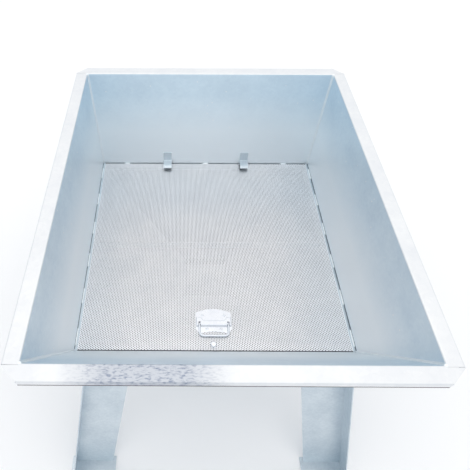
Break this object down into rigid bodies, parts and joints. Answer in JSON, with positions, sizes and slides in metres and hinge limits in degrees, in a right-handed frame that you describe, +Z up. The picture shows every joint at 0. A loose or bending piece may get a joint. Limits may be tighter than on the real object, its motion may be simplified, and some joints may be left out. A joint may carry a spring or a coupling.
{
  "type": "hopper feeder",
  "caption": "Free-standing galvanised hopper with a wide flanged rim, sloping walls, a lift-out sieve floor with a folding handle, a fines sump with a slide gate, and splayed legs.",
  "frame": {"origin": "on the ground, under the middle of the rim", "axes": "+Z up, front at -Y, where the handle, the screw and the gate's pull are; +X to the right seen from the front"},
  "size_m": [0.908, 1.222, 0.8],
  "materials": {
    "galvanised_sheet": "hot-dip galvanised, satin",
    "perforated_galvanised_sheet": "galvanised and punched, satin",
    "galvanised_fittings": "hot-dip galvanised, satin",
    "galvanised_weld": "galvanised over the weld",
    "bright_zinc_plate": "bright zinc plated"
  },
  "bodies": {
    "tub": {"back_foot_left": "galvanised_fittings", "back_foot_right": "galvanised_fittings", "back_ledge_welds": "galvanised_weld", "back_leg_left": "galvanised_fittings", "back_leg_right": "galvanised_fittings", "back_wall": "galvanised_sheet", "corner_welds": "galvanised_weld", "front_foot_left": "galvanised_fittings", "front_foot_right": "galvanised_fittings", "front_leg_left": "galvanised_fittings", "front_leg_right": "galvanised_fittings", "front_wall": "galvanised_sheet", "gate_runner_left": "galvanised_fittings", "gate_runner_right": "galvanised_fittings", "gate_stop": "galvanised_fittings", "ledge_back": "galvanised_fittings", "ledge_front": "galvanised_fittings", "ledge_left": "galvanised_fittings", "ledge_right": "galvanised_fittings", "left_wall": "galvanised_sheet", "outlet_collar": "galvanised_sheet", "rear_clip_left": "galvanised_fittings", "rear_clip_right": "galvanised_fittings", "rear_clip_welds": "galvanised_weld", "right_wall": "galvanised_sheet", "rim_corner_back_left": "galvanised_sheet", "rim_corner_back_right": "galvanised_sheet", "rim_corner_front_left": "galvanised_sheet", "rim_corner_front_right": "galvanised_sheet", "side_ledge_welds": "galvanised_weld", "sieve_support_bar": "galvanised_fittings", "sump_back": "galvanised_sheet", "sump_front": "galvanised_sheet", "sump_left": "galvanised_sheet", "sump_right": "galvanised_sheet", "weld_nut": "bright_zinc_plate"},
    "sieve": {"sieve_plate": "perforated_galvanised_sheet", "handle_plate": "bright_zinc_plate", "handle_rivets": "bright_zinc_plate"},
    "bail": {"handle_bail": "bright_zinc_plate"},
    "screw": {"retaining_screw": "bright_zinc_plate"},
    "gate": {"slide_gate": "galvanised_fittings", "gate_pull": "galvanised_fittings"}
  },
  "joints": [
    {"name": "sieve_tilt", "type": "hinge", "parent": "tub", "child": "sieve", "pos_m": [0, 0.4205, 0.458], "axis": [-1, 0, 0], "range_deg": [0, 12]},
    {"name": "bail_swing", "type": "hinge", "parent": "sieve", "child": "bail", "pos_m": [0, -0.2455, 0.4648], "axis": [-1, 0, 0], "range_deg": [0, 90]},
    {"name": "screw_lift", "type": "slide", "parent": "sieve", "child": "screw", "axis": [0, 0, 1], "range_m": [0, 0.0135]},
    {"name": "gate_slide", "type": "slide", "parent": "tub", "child": "gate", "axis": [0, -1, 0], "range_m": [0, 0.17]}
  ]
}
